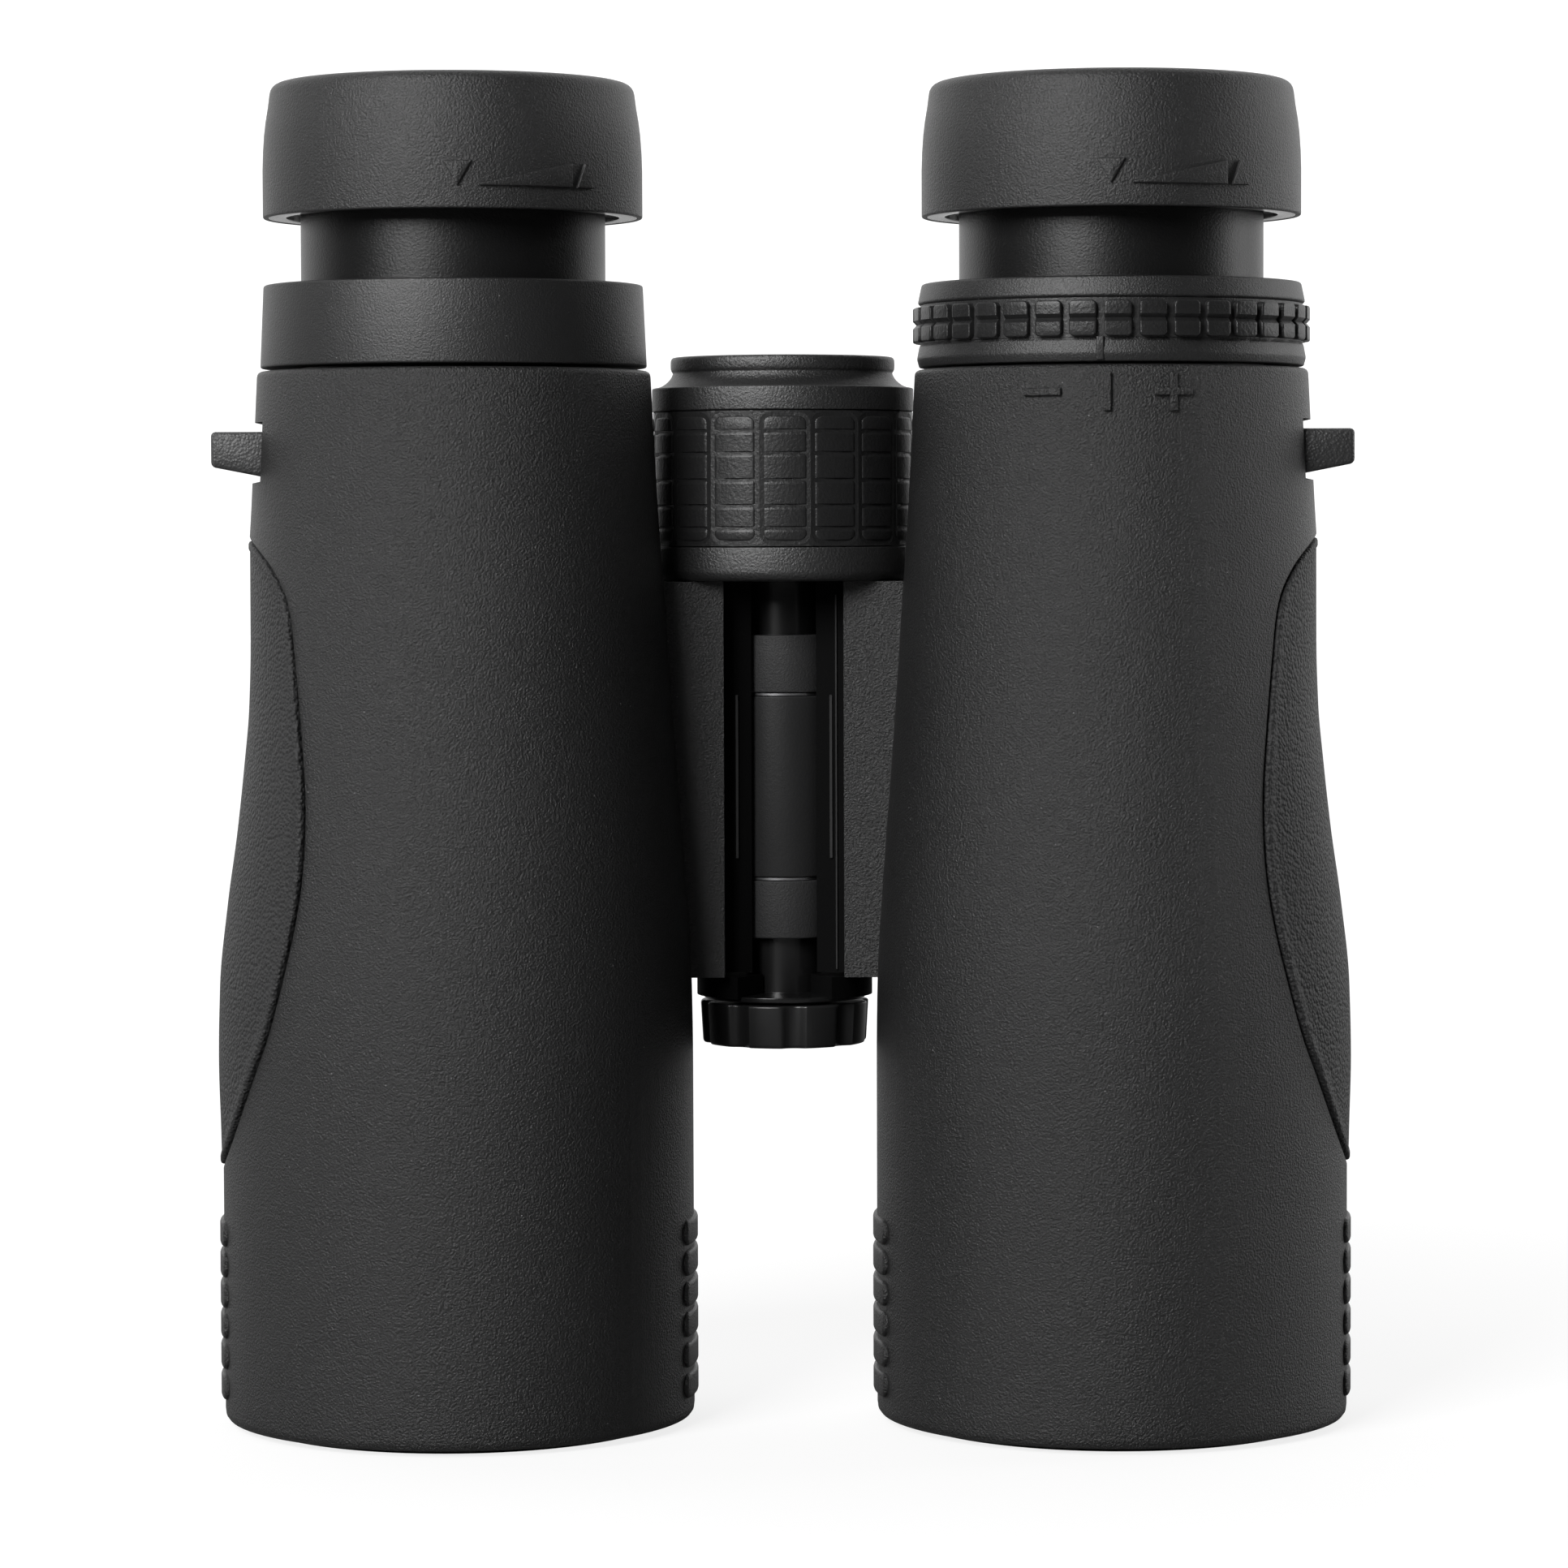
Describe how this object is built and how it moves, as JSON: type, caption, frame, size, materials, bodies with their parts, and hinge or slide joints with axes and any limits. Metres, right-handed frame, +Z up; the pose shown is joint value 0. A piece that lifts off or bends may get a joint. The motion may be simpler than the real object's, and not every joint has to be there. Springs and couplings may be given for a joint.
{
  "type": "binoculars",
  "caption": "Folding roof prism binoculars with rubber armor, central focus wheel, diopter ring, twist-up eyecups, strap lugs and a capped tripod socket.",
  "frame": {"origin": "centre of the base, between the two objective rims, on the surface the binoculars stand on", "axes": "+Z up along the barrels towards the eyepieces, +X towards the right barrel with the diopter ring, -Y towards the underside, where the wheel is furthest away"},
  "size_m": [0.1284, 0.0532, 0.1508],
  "materials": {
    "armor_rubber": "matt fine grained rubber",
    "grip_rubber": "matt moulded rubber with pads or pebble grain",
    "casting_paint": "magnesium alloy with fine textured black paint",
    "lug_paint": "coarse textured black paint",
    "black_anodised": "matt black anodised",
    "glass": "coated optical glass",
    "holder_plastic": "matt black",
    "spring_steel": "bright",
    "neck_plastic": "satin with a slight orange peel",
    "collar_paint": "fine grained satin",
    "sleeve_plastic": "satin",
    "eyecup_rubber": "smooth matt rubber",
    "hinge_steel": "gloss black",
    "wheel_paint": "semi matt",
    "brass": "plain turned",
    "cap_plastic": "gloss"
  },
  "bodies": {
    "left_barrel": {"left_armor": "armor_rubber", "left_collar_ring": "collar_paint", "left_eye_lens": "glass", "left_eye_lens_ring": "black_anodised", "left_eyepiece_housing": "neck_plastic", "left_field_lens": "glass", "left_grip_pad": "grip_rubber", "left_half_pentaprism": "glass", "left_objective_cell": "black_anodised", "left_objective_crown": "glass", "left_objective_flint": "glass", "left_objective_ring": "black_anodised", "left_prism_clamp": "spring_steel", "left_prism_holder": "holder_plastic", "left_prism_screws": "spring_steel", "left_roof_prism": "glass", "left_strap_lug": "lug_paint", "left_tube": "casting_paint", "hinge_shaft": "hinge_steel", "hinge_washers": "spring_steel", "tripod_socket": "hinge_steel", "wheel_retaining_nut": "black_anodised"},
    "right_barrel": {"right_armor": "armor_rubber", "right_eye_lens": "glass", "right_eye_lens_ring": "black_anodised", "right_eyepiece_housing": "neck_plastic", "right_grip_pad": "grip_rubber", "right_half_pentaprism": "glass", "right_objective_cell": "black_anodised", "right_objective_crown": "glass", "right_objective_flint": "glass", "right_objective_ring": "black_anodised", "right_prism_clamp": "spring_steel", "right_prism_holder": "holder_plastic", "right_prism_screws": "spring_steel", "right_roof_prism": "glass", "right_strap_lug": "lug_paint", "right_tube": "casting_paint"},
    "left_focus_group": {"left_focus_arm": "spring_steel", "left_focus_cell": "black_anodised", "left_focus_lens": "glass"},
    "right_focus_group": {"right_focus_arm": "spring_steel", "right_focus_cell": "black_anodised", "right_focus_lens": "glass"},
    "left_cup_slide": {"left_eyecup_sleeve": "sleeve_plastic"},
    "left_eyecup": {"left_eyecup_shell": "sleeve_plastic", "left_eyecup_rubber": "eyecup_rubber"},
    "right_cup_slide": {"right_eyecup_sleeve": "sleeve_plastic"},
    "right_eyecup": {"right_eyecup_shell": "sleeve_plastic", "right_eyecup_rubber": "eyecup_rubber"},
    "diopter_ring": {"diopter_ring": "collar_paint", "diopter_grip": "grip_rubber"},
    "diopter_cell": {"diopter_cell": "black_anodised", "diopter_lens": "glass"},
    "focus_wheel": {"focus_wheel_hub": "wheel_paint", "focus_wheel_grip": "grip_rubber", "focus_drive_nut": "brass", "focus_wheel_cap": "wheel_paint"},
    "focus_rod": {"focus_rod": "brass"},
    "tripod_cap": {"tripod_cap": "cap_plastic"}
  },
  "joints": [
    {"name": "interpupillary_fold", "type": "hinge", "parent": "left_barrel", "child": "right_barrel", "pos_m": [0, 0.011, 0], "axis": [0, 0, -1], "range_deg": [0, 53.8]},
    {"name": "focus_wheel_turn", "type": "hinge", "parent": "left_barrel", "child": "focus_wheel", "pos_m": [0, 0.011, 0], "axis": [0, 0, 1], "range_deg": [-270, 270]},
    {"name": "focus_rod_travel", "type": "slide", "parent": "left_barrel", "child": "focus_rod", "axis": [0, 0, 1], "range_m": [-0.003, 0.003]},
    {"name": "left_focus_travel", "type": "slide", "parent": "left_barrel", "child": "left_focus_group", "axis": [0, 0, 1], "range_m": [-0.003, 0.003]},
    {"name": "right_focus_travel", "type": "slide", "parent": "right_barrel", "child": "right_focus_group", "axis": [0, 0, 1], "range_m": [-0.003, 0.003]},
    {"name": "diopter_turn", "type": "hinge", "parent": "right_barrel", "child": "diopter_ring", "pos_m": [0.037, 0, 0.12], "axis": [0, 0, 1], "range_deg": [-40, 40]},
    {"name": "diopter_cell_travel", "type": "slide", "parent": "right_barrel", "child": "diopter_cell", "axis": [0, 0, 1], "range_m": [-0.0015, 0.0015]},
    {"name": "left_cup_travel", "type": "slide", "parent": "left_barrel", "child": "left_cup_slide", "axis": [0, 0, 1], "range_m": [-0.0064, 0]},
    {"name": "left_cup_twist", "type": "hinge", "parent": "left_cup_slide", "child": "left_eyecup", "pos_m": [-0.037, 0, 0.14], "axis": [0, 0, 1], "range_deg": [-100, 0]},
    {"name": "right_cup_travel", "type": "slide", "parent": "right_barrel", "child": "right_cup_slide", "axis": [0, 0, 1], "range_m": [-0.0064, 0]},
    {"name": "right_cup_twist", "type": "hinge", "parent": "right_cup_slide", "child": "right_eyecup", "pos_m": [0.037, 0, 0.14], "axis": [0, 0, 1], "range_deg": [-100, 0]},
    {"name": "tripod_cap_off", "type": "slide", "parent": "left_barrel", "child": "tripod_cap", "axis": [0, 0, -1], "range_m": [0, 0.03]}
  ],
  "couplings": [
    {"joint": "focus_rod_travel", "follows": "focus_wheel_turn", "m_per_rad": 0.00063661},
    {"joint": "left_focus_travel", "follows": "focus_wheel_turn", "m_per_rad": 0.00063661},
    {"joint": "right_focus_travel", "follows": "focus_wheel_turn", "m_per_rad": 0.00063661},
    {"joint": "diopter_cell_travel", "follows": "diopter_turn", "m_per_rad": 0.0021486},
    {"joint": "left_cup_travel", "follows": "left_cup_twist", "m_per_rad": 0.0036669},
    {"joint": "right_cup_travel", "follows": "right_cup_twist", "m_per_rad": 0.0036669}
  ]
}
